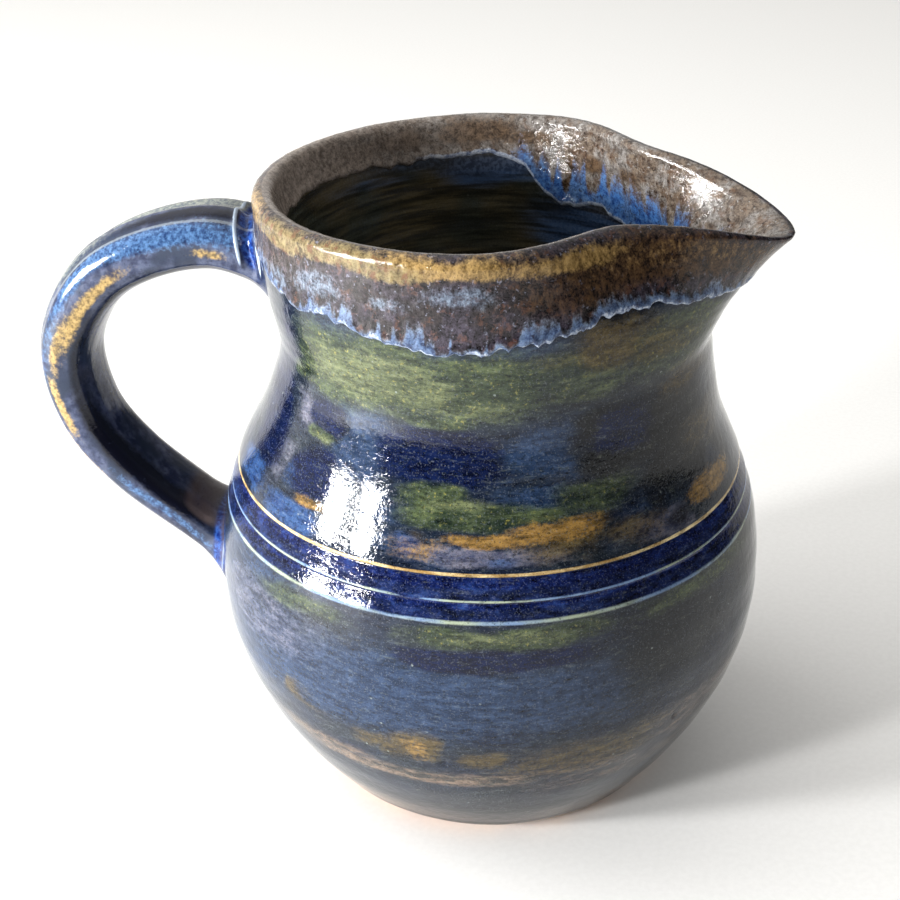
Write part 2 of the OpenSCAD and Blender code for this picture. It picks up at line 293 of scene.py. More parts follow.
class Paint:
    """Builds one node material with short calls."""

    def __init__(self, name, roughness, ior=1.52):
        self.material = bpy.data.materials.new(name)
        self.material.use_nodes = True
        self.tree = self.material.node_tree
        self.tree.nodes.clear()
        out = self.tree.nodes.new("ShaderNodeOutputMaterial")
        self.shader = self.tree.nodes.new("ShaderNodeBsdfPrincipled")
        self.shader.inputs["Roughness"].default_value = roughness
        self.shader.inputs["IOR"].default_value = ior
        self.link(self.shader.outputs[0], out.inputs[0])
        self.where = self.tree.nodes.new("ShaderNodeTexCoord").outputs["Object"]
        self.layers = {}
        self.colour = None          # what has been painted so far
        self.ragged = None          # the noise that breaks up edges and mottles a glaze
        self.contrast = (0.36, 0.64)

    def link(self, source, target):
        self.tree.links.new(source, target)

    def feed(self, socket, value):
        """A link, a number, a linear colour of 4 or a screen colour of 3 from 0 to 255."""
        if hasattr(value, "node"):
            self.link(value, socket)
        elif isinstance(value, tuple) and len(value) == 3:
            socket.default_value = srgb(*value)
        else:
            socket.default_value = value

    def maths(self, operation, first, second=0.0, third=0.0):
        node = self.tree.nodes.new("ShaderNodeMath")
        node.operation = operation
        for socket, value in zip(node.inputs, (first, second, third)):
            self.feed(socket, value)
        return node.outputs[0]

    def texture(self, kind, size, stretch=(1, 1, 1)):
        """A texture with lumps of size mm, drawn out by stretch along each axis."""
        mapping = self.tree.nodes.new("ShaderNodeMapping")
        mapping.inputs["Scale"].default_value = [1 / (size * MM * s) for s in stretch]
        self.link(self.where, mapping.inputs["Vector"])
        node = self.tree.nodes.new(kind)
        node.inputs["Scale"].default_value = 1.0
        self.link(mapping.outputs[0], node.inputs["Vector"])
        return node

    def noise(self, size, detail=2.0, stretch=(1, 1, 1), rough=0.55, warp=0.0):
        node = self.texture("ShaderNodeTexNoise", size, stretch)
        node.inputs["Detail"].default_value = detail
        node.inputs["Roughness"].default_value = rough
        node.inputs["Distortion"].default_value = warp
        return node.outputs["Fac"]

    def dots(self, size, largest, smallest):
        """Round dots, one in each cell of size mm."""
        cells = self.texture("ShaderNodeTexVoronoi", size)
        return self.ramp(cells.outputs["Distance"], largest, smallest)

    def mask(self, label, channel):
        """One channel of a mesh's painted masks."""
        if label not in self.layers:
            node = self.tree.nodes.new("ShaderNodeAttribute")
            node.attribute_name = label
            split = self.tree.nodes.new("ShaderNodeSeparateColor")
            self.link(node.outputs["Color"], split.inputs[0])
            self.layers[label] = list(split.outputs) + [node.outputs["Alpha"]]
        return self.layers[label][channel]

    def ramp(self, value, lo, hi, to_lo=0.0, to_hi=1.0):
        node = self.tree.nodes.new("ShaderNodeMapRange")
        node.interpolation_type = "SMOOTHSTEP"
        for socket, v in zip(node.inputs, (value, lo, hi, to_lo, to_hi)):
            self.feed(socket, v)
        return node.outputs[0]

    def broken(self, cover, noise, amount=0.8, edge=0.06):
        """A cover of 0 to 1 given crisp edges that the noise breaks up."""
        moved = self.maths("SUBTRACT", cover, amount / 2)
        moved = self.maths("MULTIPLY_ADD", noise, amount, moved)
        return self.ramp(moved, 0.5 - edge, 0.5 + edge)

    def mix(self, factor, first, second, blend="MIX"):
        node = self.tree.nodes.new("ShaderNodeMix")
        node.data_type = "RGBA"
        node.blend_type = blend
        self.feed(node.inputs["Factor"], factor)
        self.feed(node.inputs["A"], first)
        self.feed(node.inputs["B"], second)
        return node.outputs["Result"]

    def times(self, first, second):
        return self.maths("MULTIPLY", first, second)

    def tones(self, noise, lo, hi, first, second):
        """A colour that goes from the first tone to the second where noise rises."""
        return self.mix(self.ramp(noise, lo, hi), first, second)

    def glaze(self, dark, light, noise=None):
        """Two tones of one glaze, mottled."""
        return self.tones(self.ragged if noise is None else noise, *self.contrast, dark, light)

    def over(self, factor, colour, blend="MIX"):
        self.colour = self.mix(factor, self.colour, colour, blend)

    def veil(self, cover, lo, hi, amount, colour, blend="MIX"):
        """A colour over the paint, at most at amount, where cover goes from lo to hi."""
        self.over(self.ramp(cover, lo, hi, 0, amount), colour, blend)

    def specks(self, under, *kinds):
        """Specks of several kinds: size in mm, lo, hi, amount, colour."""
        for size, lo, hi, amount, colour in kinds:
            factor = self.ramp(self.noise(size, 3, rough=0.65), lo, hi, 0, amount)
            under = self.mix(factor, under, colour)
        return under

    def lay(self, label, channel, colour, amount=1.0, edge=0.22, strength=1.0):
        """Another glaze where a painted mask says, with a ragged edge."""
        cover = self.broken(self.mask(label, channel), self.ragged, amount, edge)
        self.over(self.times(cover, strength) if strength < 1 else cover, colour)

    def finish(self, roughness, *heights):
        """Sets the shader, with bumps as (height, distance in mm, strength)."""
        self.feed(self.shader.inputs["Base Color"], self.colour)
        if roughness is not None:
            self.feed(self.shader.inputs["Roughness"], roughness)
        normal = None
        for height, distance, strength in heights:
            node = self.tree.nodes.new("ShaderNodeBump")
            node.inputs["Distance"].default_value = distance * MM
            node.inputs["Strength"].default_value = strength
            self.link(height, node.inputs["Height"])
            if normal is not None:
                self.link(normal, node.inputs["Normal"])
            normal = node.outputs[0]
        self.link(normal, self.shader.inputs["Normal"])
        return self.material


def finish_piece(piece, material, slot, *nodes):
    piece.data.materials.append(material)
    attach(piece, "root")
    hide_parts(*nodes)


# ------------------------------------------------------------------ outer glaze
AROUND = 440
TOP_ROW = 115.9
TUCKED = 2.6                # how far the coat runs on under the rim's coat, mm
STRETCH_FROM = 98.0         # above this height its rows spread to meet that coat
# Pinholes: azimuth, height, size, depth.
PINHOLES = [
    (-88.5, 31.4, 0.75, 0.7), (-38.5, 32.3, 0.6, 0.5), (-28.5, 52, 0.5, 0.45), (35, 60, 0.7, 0.6),
    (120, 38, 0.6, 0.5), (160, 84, 0.7, 0.5)]


def outer_levels():
    low = np.concatenate([[2.5, 2.62, 2.8, 3.05, 3.4, 3.9, 4.5], np.arange(5.3, 30, 1.1)])
    belly = np.arange(30.2, 61, 0.85)
    grooves = np.concatenate([np.arange(61, 62, 0.25), np.arange(62, 62.8, 0.14),
                              np.arange(62.8, 65, 0.4), np.arange(65, 66.2, 0.13),
                              np.arange(66.2, 69, 0.45), np.arange(69, 70.8, 0.13)])
    neck = np.arange(70.9, TOP_ROW + 0.1, 0.6)
    return np.concatenate([low, belly, grooves, neck])


def outer_glaze():
    a = np.arange(AROUND) * 360 / AROUND
    z_row = outer_levels()[:, None]
    a_grid, z_grid = np.broadcast_arrays(a[None, :], z_row)
    flat = round_points(smooth_r(z_grid), z_grid, a_grid)
    edge = 0.55 * (cloud(flat, (9, 9, 400), 3, 2) - 0.5) * 2
    z = z_grid + edge * np.clip(1 - (z_grid - BARE_FOOT) / 6, 0, 1)
    under_rim = round_curve(RIM_EDGE, a)[None, :]
    spread = (under_rim + TUCKED - TOP_ROW) / (TOP_ROW - STRETCH_FROM)
    z = z + spread * np.clip(z_grid - STRETCH_FROM, 0, TOP_ROW - STRETCH_FROM)
    groove = np.interp(z - groove_shift(a_grid), GROOVE_LEVELS, GLAZE_CUT)
    from_edge = z - (BARE_FOOT + edge)
    lip = np.sqrt(np.clip(1 - (1 - np.clip(from_edge / 0.7, 0, 1)) ** 2, 0, 1))
    thick = GLAZE * (0.1 + 0.9 * lip) + 0.18 * hill(from_edge, 1.1, 0.7)
    thick = thick - 0.5 * smoothstep(1.2, 2.4, z - under_rim)
    rings = (0.045 * np.sin(2 * np.pi * z / 8.3 + np.radians(a_grid) + 0.6)
             + 0.018 * np.sin(2 * np.pi * z / 2.9 + 2 * np.radians(a_grid)))
    rings = rings * smoothstep(4, 12, z) * (1 - hill(z, 80, 13))
    rings = rings * (0.3 + 1.2 * cloud(flat, (30, 30, 9), 8))
    # thickness set between 71 and 104 mm, for where the window's highlight falls
    rings = (rings - 0.3 * smoothstep(71, 80, z) + 0.45 * smoothstep(79, 89, z)
             - 0.15 * smoothstep(90, 104, z))
    uneven = 0.35 * (cloud(flat, 26, 21, 2) - 0.5) * smoothstep(3, 15, z)
    dents = np.zeros_like(z)
    for az, height, size, depth in PINHOLES:
        away = np.hypot(np.radians(turned(a_grid, az)) * smooth_r(height), z - height)
        dents -= depth * hill(away, 0, size) - 0.18 * hill(away, size * 1.9, size * 0.5)
    r = smooth_r(z) - groove + thick + rings + uneven + dents
    front = pulled(r, z, a_grid)
    back_z = np.concatenate([np.arange(2.9, 60, 5.0), [61.5, 62.3, 65.2, 65.6, 69.4, 69.8],
                             np.arange(73, TOP_ROW, 3.5), [TOP_ROW]])[::-1][:, None]
    back_a, back_z = np.broadcast_arrays(a[None, :], back_z)
    back_z = back_z + spread * np.clip(back_z - STRETCH_FROM, 0, TOP_ROW - STRETCH_FROM)
    clay_cut = np.interp(back_z - groove_shift(back_a), GROOVE_LEVELS, CLAY_CUT)
    back = pulled(smooth_r(back_z) - clay_cut - 0.35, back_z, back_a)

    tables = {"cover": [(OLIVE, 31, (7, 1.5)), (COBALT, 32), (OCHRE, 33, (4, 0.9)),
                        (DARK, 34, (9, 2.2))],
              "tone": [(SLATE, 35, (9, 2.2)), (AZURE, 36), (MAUVE, 37), (WARM, 38, (9, 1.2))],
              "shade": [(KHAKI, 39, (7, 1.2)), (RUSSET, 40, (9, 2.2))]}
    paint = {label: [patches(a_grid, z, front, *row) for row in rows]
             for label, rows in tables.items()}
    paint["edges"] = edge_masks(a_grid, z, front)
    masks = {label: [np.concatenate([c, np.repeat(c[-1:], len(back), axis=0)])
                     for c in channels] for label, channels in paint.items()}
    return ring_mesh("outer_coat", np.concatenate([front, back]), closed=True, masks=masks)


def edge_masks(a, z, p):
    """Where glaze runs thin on the cut edges, where it pools under them, and the foot."""
    level = z - groove_shift(a)
    uneven = 0.7 + 0.6 * cloud(p, (5, 5, 3), 41)
    line_top = hill(level, GROOVE_TOP + 0.42, 0.36) * uneven
    line_mid = hill(level, GROOVE_MID + 0.22, 0.26) * uneven
    line_low = hill(level, GROOVE_LOW - 0.1, 0.5) * uneven
    gap = 1 - hill(turned(a, -94.5), 0, 2.2)
    pooled = np.maximum(hill(level, 68.9, 1.5), 0.85 * hill(level, 64.9, 0.8))
    pooled = np.where((level < GROOVE_TOP) & (level > GROOVE_LOW), np.maximum(pooled, 0.42), 0)
    foot = 1 - smoothstep(2, 26, z)
    return (np.clip(line_top, 0, 1), np.clip(np.maximum(line_mid * gap, 0.9 * line_low), 0, 1),
            pooled, foot)


# Painted patches: azimuth, height, half width in degrees, half height in mm, strength.
OLIVE = [
    (-112, 102.5, 22, 7.5, 1), (-82, 102, 16, 7, .85), (-60, 103, 14, 6, .6),
    (-30, 104, 20, 6, .85), (-90, 82.3, 8.5, 2.0, .95), (-84, 79.2, 13, 2.0, 1),
    (-70, 78.6, 10, 1.5, .8), (-56, 81, 11, 3.2, .6), (-125, 87.2, 6, .9, .9),
    (-76, 59.3, 17, 2.0, 1), (-120, 59, 14, 2.2, .6), (-95, 95.3, 12, 1.6, .75),
    (-30, 60, 24, 2.2, .6), (-130, 97.5, 8, 2.5, .8), (15, 101, 24, 7, .9), (58, 104, 22, 6, .9),
    (100, 100, 24, 7, 1), (140, 103, 16, 6, .8), (30, 80, 20, 4, .8), (88, 79, 16, 4, .9),
    (128, 82, 14, 3.5, .8), (60, 59, 26, 2.2, .8), (125, 58, 20, 2, .8), (-170, 100, 10, 5, .7)]
KHAKI = [
    (-112, 102, 15, 4.4, 1), (-96, 100, 8, 3.2, .8), (-84, 97.5, 12, 1.6, .5),
    (-88, 81, 8, 1.2, .6), (-78, 59.4, 11, 1.1, .7), (-126, 87.2, 4, .6, .8),
    (25, 101, 14, 3.5, .7), (100, 99, 14, 4, .9), (140, 102, 10, 3, .7), (88, 79.5, 9, 2, .6),
    (70, 59, 14, 1.1, .7)]
COBALT = [
    (-92, 88.8, 15.5, 4.7, 1), (-124, 91, 5, 3.2, .9), (-146, 86, 9, 10, 1),
    (-124, 81, 7, 4.5, .85), (-79, 55.2, 17, 2.2, 1), (-136, 104, 6, 7, .8),
    (-48, 91, 9, 4.6, .7), (20, 90, 16, 5, .9), (62, 88, 18, 5, 1), (110, 90, 15, 5, 1),
    (150, 86, 14, 8, .9), (75, 54.5, 22, 2, .9), (135, 53, 18, 2, .8), (170, 80, 14, 9, .9)]
OCHRE = [
    (-80, 75.7, 9, .9, 1), (-66, 76.2, 9, 1.7, .9), (-122, 76.2, 5, .8, .9),
    (-19, 74.2, 7.5, 2.1, .95), (-95, 73.6, 6, 1.6, .5), (-95.5, 34, 2.2, 3, .5),
    (22, 75.5, 12, 1.2, .9), (55, 76, 8, 1.4, .8), (96, 75.2, 13, 1.0, 1), (140, 76, 9, 1.3, .8),
    (40, 35, 6, 3, .6), (92, 32, 8, 2.5, .6), (150, 36, 5, 3, .6)]
RUSSET = [
    (-50, 107.3, 12, 4.2, .9), (-33, 105, 12, 3.5, .6), (-62, 75.4, 12, 3.2, .7),
    (-46, 74, 6, 2.5, .6), (-94, 73.5, 7, 2.4, .6), (-57, 31, 18, 5, .6), (-14, 84, 12, 5, .5),
    (-94.5, 34.5, 3, 3.6, .8), (-81, 32.4, 6, 2.2, .75), (-120, 39.5, 3.4, 3, .7),
    (-102, 34, 6, 2.2, .65), (-70, 30, 5, 1.6, .6), (-66, 107, 10, 1.5, .4), (75, 106, 14, 4, .8),
    (30, 76, 16, 3, .7), (140, 75, 14, 2.4, .6), (-20, 96, 16, 3, .5)]
DARK = [
    (-47, 90, 12, 6.5, .9), (-30, 88, 14, 10, .95), (-40, 79, 5, 4, .6), (-24, 79.5, 7, 3, .85),
    (-8, 77, 6, 4, .7), (-34, 73, 4, 2.2, .6), (-55, 99, 16, 3, .5), (-40, 52, 18, 10, .6),
    (-12, 60, 14, 18, .6), (12, 84, 12, 5, .8), (45, 92, 11, 7, .8), (80, 83, 9, 4, .6),
    (125, 90, 10, 7, .7)]
SLATE = [
    (-100, 46, 34, 9, 1), (-74, 46, 24, 8, .9), (-68, 90, 9, 5, .9), (-70, 80.5, 8, 4, .8),
    (-88, 108.5, 26, 1.6, 1), (-122, 107, 12, 4, .8), (-112, 89, 7, 6, 1), (-103, 79, 5, 4, .7),
    (-94, 74, 8, 2.4, .8), (-45, 74.5, 8, 3, .6), (-138, 60, 18, 2.4, .8), (-140, 46, 20, 12, 1),
    (60, 46, 50, 12, .9), (150, 46, 40, 12, 1), (5, 46, 22, 12, .6), (40, 72.8, 20, 1.8, .7),
    (110, 73, 22, 1.8, .8), (85, 107.5, 30, 1.8, .8), (-40, 78, 5, 4, .5)]
AZURE = [
    (-149, 74.2, 9, 2.4, 1), (-126, 73, 9, 1.9, .9), (-97, 74, 3.4, 1.9, .75),
    (-131, 78.5, 3, 2, .5), (-160, 66, 20, 2.2, .6), (-75, 72.6, 4, 1, .6),
    (160, 74.5, 12, 2.2, .9), (128, 72.6, 10, 1.6, .7), (35, 72.8, 9, 1.5, .6)]
MAUVE = [
    (-134, 91, 5, 3.6, .6), (-136, 80, 5, 5, .45), (-78, 73, 11, 1.6, .9), (-68, 73, 8, 1.6, .6),
    (-88, 73.4, 5, 1.6, .7), (-132, 52, 22, 8, .45), (-38, 72.6, 8, 2.2, .7),
    (100, 72, 14, 1.6, .7), (150, 50, 20, 8, .6), (40, 50, 16, 7, .4)]
WARM = [
    (-100, 25.4, 22, 1.7, 1), (-80, 26, 10, 2.0, .9), (-120, 28, 12, 2, .85),
    (-60, 27, 16, 3, .5), (-20, 31, 26, 6, .5), (-45, 22, 30, 3, .45), (30, 27, 26, 3, .6),
    (85, 26, 26, 2.6, .8), (140, 28, 26, 3, .8), (-160, 27, 18, 3, .7)]


def outer_material():
    m = Paint("cobalt_glaze", 0.07, 1.47)
    grain = m.noise(0.32, 1.5)
    fine = m.noise(0.8, 3, rough=0.7)
    brushed = m.noise(3.2, 5, stretch=(1.5, 1.5, 0.42), rough=0.68)
    slow = m.noise(11, 3, stretch=(1.4, 1.4, 0.6), rough=0.6)
    bands = m.noise(1.9, 5, stretch=(1.9, 1.9, 0.45), rough=0.75)
    pores = m.noise(0.62, 2, stretch=(1.6, 1.6, 1))
    blend = m.maths("MULTIPLY_ADD", fine, 0.35, m.times(brushed, 0.65))
    m.ragged = m.maths("MULTIPLY_ADD", grain, 0.25, m.times(blend, 0.75))
    glaze, lay = m.glaze, m.lay

    # the base, then each painted patch over it
    m.colour = m.tones(slow, 0.35, 0.65, glaze((16, 24, 44), (38, 48, 66)),
                       glaze((24, 31, 40), (50, 58, 68)))
    lay("tone", 0, glaze((18, 34, 58), (54, 73, 102)), 1.0, 0.35)
    m.veil(m.mask("edges", 3), 0.1, 0.75, 0.9,
                    glaze((34, 34, 38), (62, 62, 62), brushed))
    lay("tone", 2, glaze((60, 66, 90), (122, 120, 130)), 1.2, 0.3)
    lay("tone", 3, glaze((54, 52, 50), (128, 110, 96), brushed), 1.4, 0.4)
    lay("cover", 3, glaze((6, 7, 10), (34, 36, 40)), 1.1, 0.3)
    lay("cover", 1, glaze((3, 7, 32), (18, 32, 70)), 0.8, 0.18)
    olive = m.tones(slow, 0.4, 0.62, glaze((38, 50, 38), (92, 102, 72)),
                    glaze((28, 40, 34), (70, 80, 60)))
    lay("cover", 0, olive, 1.1, 0.28)
    lay("shade", 0, glaze((64, 72, 50), (116, 122, 90)), 1.5, 0.35, 0.8)
    lay("shade", 1, glaze((58, 46, 26), (110, 94, 56)), 1.5, 0.35, 0.8)
    lay("tone", 1, glaze((22, 46, 92), (62, 92, 134)), 1.3, 0.3, 0.85)
    lay("cover", 2, glaze((94, 74, 40), (166, 132, 74)), 1.8, 0.3, 0.85)

    # crystals in the olive, pores, and the glaze that pools in the grooves
    flecks = m.times(m.ramp(fine, 0.58, 0.72), m.ramp(m.mask("cover", 0), 0.3, 0.9, 0, 0.7))
    m.over(flecks, (150, 142, 74))
    m.veil(pores, 0.56, 0.68, 0.55, (16, 24, 30))
    pooled = m.mix(m.ramp(m.ragged, 0.52, 0.66, 0, 0.8),
                   glaze((6, 10, 38), (30, 46, 104), blend), (60, 88, 140))
    m.veil(m.mask("edges", 2), 0.15, 0.6, 1, pooled)
    cream = m.tones(brushed, 0.35, 0.7, (150, 122, 76), (226, 208, 164))
    m.veil(m.mask("edges", 0), 0.4, 0.8, 1, cream)
    pale = m.tones(slow, 0.4, 0.6, (118, 142, 176), (160, 170, 150))
    m.veil(m.mask("edges", 1), 0.4, 0.9, 0.9, pale)

    # fine bands from the turning wheel, pale dots and grain over everything
    m.veil(bands, 0.5, 0.64, 0.5, (104, 110, 122), "MULTIPLY")
    m.veil(bands, 0.44, 0.32, 0.3, (100, 104, 88), "SCREEN")
    dots = m.times(m.dots(3.2, 0.09, 0.05), m.ramp(slow, 0.5, 0.62, 0, 0.6))
    m.over(dots, (140, 148, 144))
    m.veil(grain, 0.58, 0.72, 0.6, (8, 10, 16))
    m.veil(grain, 0.44, 0.3, 0.45, (96, 100, 104), "SCREEN")
    return m.finish(m.ramp(m.ragged, 0.3, 0.8, 0.03, 0.09), (m.noise(5.5, 1), 0.22, 0.25),
                    (m.noise(1.9, 2), 0.11, 0.6), (fine, 0.06, 0.5), (grain, 0.04, 0.5))


# ------------------------------------------------------------------ rim glaze
RIM_AROUND = 600
RIM_RING = 43.0             # radius of the ring that the rim's noise is read along
# Lower edge of the rim coat outside, and inside, as azimuth and height.
RIM_EDGE = [
    (-180, 117), (-165, 117), (-152, 115.4), (-142, 112.6), (-132, 110.8), (-120, 111.3),
    (-112, 110.7), (-104, 109.5), (-95, 108.7), (-85, 108.7), (-76, 109.1), (-68, 109.9),
    (-60, 111.2), (-52, 112.6), (-44, 112.8), (-36, 111.7), (-26, 110.7), (-16, 110.5), (-6, 111),
    (10, 110.4), (25, 109.8), (40, 110.6), (60, 112), (80, 111), (100, 109.6), (120, 109.2),
    (140, 110.8), (155, 113.4), (168, 116)]
RIM_INSIDE = [
    (0, 108), (20, 106), (42, 105.4), (55, 106.4), (62, 108.6), (70, 107.6), (78, 107.2),
    (83, 108.8), (87, 112), (92, 115.8), (100, 117), (120, 116.6), (140, 117), (160, 117.4),
    (180, 117.6), (-150, 117.2), (-120, 116.4), (-80, 115.6), (-45, 114.5), (-20, 111)]


def rim_section(a):
    """Rows of the clay surface under the rim coat: radius, height, normal and the
    distance from the coat's lower edges, all of shape rows x columns."""
    low_out, low_in = round_curve(RIM_EDGE, a), round_curve(RIM_INSIDE, a)
    spot = round_points(np.full_like(a, RIM_RING), np.zeros_like(a), a)
    low_out = low_out + 1.6 * (np.abs(cloud(spot, (2.3, 2.3, 9), 51, 2) - 0.5) * 2 - 0.35)
    low_out = low_out + 1.0 * (cloud(spot, (6, 6, 9), 52, 1) - 0.5)
    low_in = low_in + 1.6 * (cloud(spot, (2.2, 2.2, 9), 53, 2) - 0.5)
    share = np.concatenate([[0, .004, .012, .024, .04, .06, .085, .11], np.linspace(0.14, 1, 24)])
    z_out = low_out + (LIP_Z - low_out) * share[:, None]
    z_in = (low_in + (LIP_Z - low_in) * share[:, None])[::-1]
    arc = np.radians(np.arange(12, 180, 12))[:, None] + 0 * a
    r = np.concatenate([smooth_r(z_out), LIP_R + BEAD_R * np.cos(arc),
                        smooth_r(z_in) - WALL + lip_lift(z_in)])
    z = np.concatenate([z_out, LIP_Z + BEAD_R * np.sin(arc), z_in])
    dr, dz = np.gradient(r, axis=0), np.gradient(z, axis=0)
    size = np.hypot(dr, dz)
    n_r, n_z = dz / size, -dr / size
    from_out, from_in = z - low_out, z - low_in
    outside = np.arange(len(r))[:, None] < len(z_out) + len(arc) / 2
    return r, z, n_r, n_z, np.where(outside, from_out, from_in), outside & (r > 0)


def rim_glaze():
    a = np.arange(RIM_AROUND) * 360 / RIM_AROUND
    r, z, n_r, n_z, d, outside = rim_section(a)
    a_grid = np.broadcast_to(a[None, :], r.shape)
    p = round_points(r, z, a_grid)
    lip = np.sqrt(np.clip(1 - (1 - np.clip(d / 0.75, 0, 1)) ** 2, 0, 1))
    roll = 0.32 * hill(d, 0.9, 1.0) + 0.2 * (1 - smoothstep(2, 9, d))
    streak = (cloud(p, (1.5, 1.5, 7), 61, 2) - 0.5) * 0.34
    lumps = (cloud(p, (1.7, 1.7, 2.2), 62, 2) - 0.5) * 0.30
    slow = (cloud(p, (14, 14, 6), 63, 2) - 0.5) * 0.3
    under = np.where(outside, GLAZE, LINER) - 0.06
    near_lip = smoothstep(116, 121, z)
    thick = under + (0.06 + roll + np.where(outside, streak, lumps)) * lip
    thick = thick * (1 - near_lip) + (RIM + 0.6 * lumps) * near_lip + slow * lip
    front = pulled(r + n_r * thick, z + n_z * thick, a_grid)
    back = pulled(r - n_r * SEATED, z - n_z * SEATED, a_grid)[::-1][::3]

    def spots(table, seed, wander=(5.0, 1.3)):
        return patches(a_grid, z, p, table, seed, wander)

    az = turned(a_grid)
    yellow = spots(LIP_GOLD, 64) * outside
    orange = spots(LIP_TAN, 65) * outside
    brown = np.where(outside, spots(RIM_BROWN, 66), spots(INSIDE_BROWN, 67))

    # haze and drips of blue that stand on the coat's lower edge
    column = round_points(np.full_like(a_grid, RIM_RING), 0 * a_grid, a_grid)
    finger = smoothstep(0.48, 0.66, cloud(column, (0.95, 0.95, 9), 54, 2))
    blob = smoothstep(0.3, 0.75, cloud(column, (2.1, 2.1, 9), 55, 2))
    spread = smoothstep(0.1, 0.4, cloud(column, (9, 9, 9), 56, 1))
    gaps = smoothstep(0.2, 0.55, cloud(column, (1.6, 1.6, 9), 57, 2))
    haze = 0.7 * round_curve(RIM_HAZE, a)[None, :] * (0.4 + 1.1 * blob)
    drip = round_curve(RIM_DRIPS, a)[None, :] * finger * spread
    inside_blue = 1 - smoothstep(80, 96, np.abs(turned(a_grid, 5)))
    tall = np.where(outside, haze + 0.5 * blob + 3.6 * drip, 3.2 + 8 * blob * inside_blue)
    blue = np.clip(1.2 - d / (tall + 0.7), 0, 1.1) * np.where(outside, 1, inside_blue)
    light = np.clip(1.2 - d / (1.1 * tall + 1.0), 0, 0.6) * outside
    light = np.maximum(light, spots(RIM_LIGHT, 68) * outside)

    # the pale line along the very edge, broken outside and even inside
    wide = np.where(outside, 0.22 + 0.15 * haze + 0.6 * blob * gaps, 0.7)
    broken_line = ((0.68 + 0.28 * smoothstep(-60, -90, az)) * (0.5 + 0.5 * gaps)
                   * (1 - 0.5 * smoothstep(-112, -126, az)))
    even_line = 1 - smoothstep(106, 124, np.abs(turned(a_grid, 10)))
    faint = np.where(outside, broken_line, even_line)
    pale = np.clip(1.3 - np.abs(d - 0.6 * wide) / wide, 0, 1) * faint
    inner = np.where(outside, 0.0, 1.0)
    # painted light: the rim coat is lighter near the handle, inside and faintly outside, where the
    # window's light falls
    painted_light_by_handle = hill(turned(a_grid, 180), 0, 56) * smoothstep(112, 118, z)
    painted_light_by_handle = painted_light_by_handle * np.where(outside, 0.2, 1)

    def full(c):
        c = np.broadcast_to(c, r.shape)
        return np.concatenate([c, c[::-1][::3]])

    masks = {"warm": [full(c) for c in (yellow, orange, brown, light)],
             "runs_and_painted_light": [full(c) for c in (blue, pale, inner, painted_light_by_handle)]}
    return ring_mesh("rim_coat", np.concatenate([front, back]), closed=True, masks=masks)


# Patches of the rim: azimuth, height, half width in degrees, half height in mm, strength.
LIP_GOLD = [
    (-136, 122.6, 13, 1.8, 1), (-112, 122.4, 16, 1.5, .95), (60, 123.4, 26, 1.4, .5),
    (110, 123.4, 24, 1.6, .7)]
LIP_TAN = [
    (-88, 122.8, 18, 1.6, .9), (-60, 122.4, 16, 1.5, .85), (-158, 123.0, 12, 2, .7),
    (-30, 121, 26, 2.6, .25), (90, 122.2, 40, 1.2, .6), (150, 123, 30, 1.5, .8)]
RIM_BROWN = [
    (-30, 119.5, 42, 4.4, .8), (20, 119, 30, 4, .8), (-62, 117, 12, 3.4, .6),
    (60, 119, 30, 3, .7), (130, 121, 40, 2, .6)]
INSIDE_BROWN = [
    (76, 113.5, 2, 5, 1), (66, 117, 7, 2, .8), (105, 121.5, 12, 2.2, .9), (135, 121, 20, 2, .7),
    (50, 117.5, 5, 2, .6), (88, 120.5, 8, 1.6, .8), (24, 117, 8, 1.5, .5)]
RIM_LIGHT = [
    (-124, 116.5, 8, 2.4, .62), (-138, 115, 6, 2, .6), (-88, 118.6, 9, 1.8, .62),
    (-104, 116, 6, 1.4, .5), (30, 115, 16, 2.4, .5), (95, 116, 14, 3, .5), (130, 115, 12, 3, .5)]
# How tall the blue haze and the drips stand above the coat's lower edge: azimuth, mm or share.
RIM_HAZE = [
    (-170, 1.4), (-150, 1.4), (-134, 1.2), (-122, .9), (-108, .6), (-70, .5), (-56, .8),
    (-46, 2.2), (-36, 3.4), (-20, 3.2), (-5, 2), (30, 1), (80, 1.6), (120, .8), (160, 1.6)]
RIM_DRIPS = [
    (-170, .3), (-130, .5), (-110, 1), (-72, 1), (-58, .3), (-40, .2), (0, .4), (60, .8),
    (110, 1), (150, .6)]


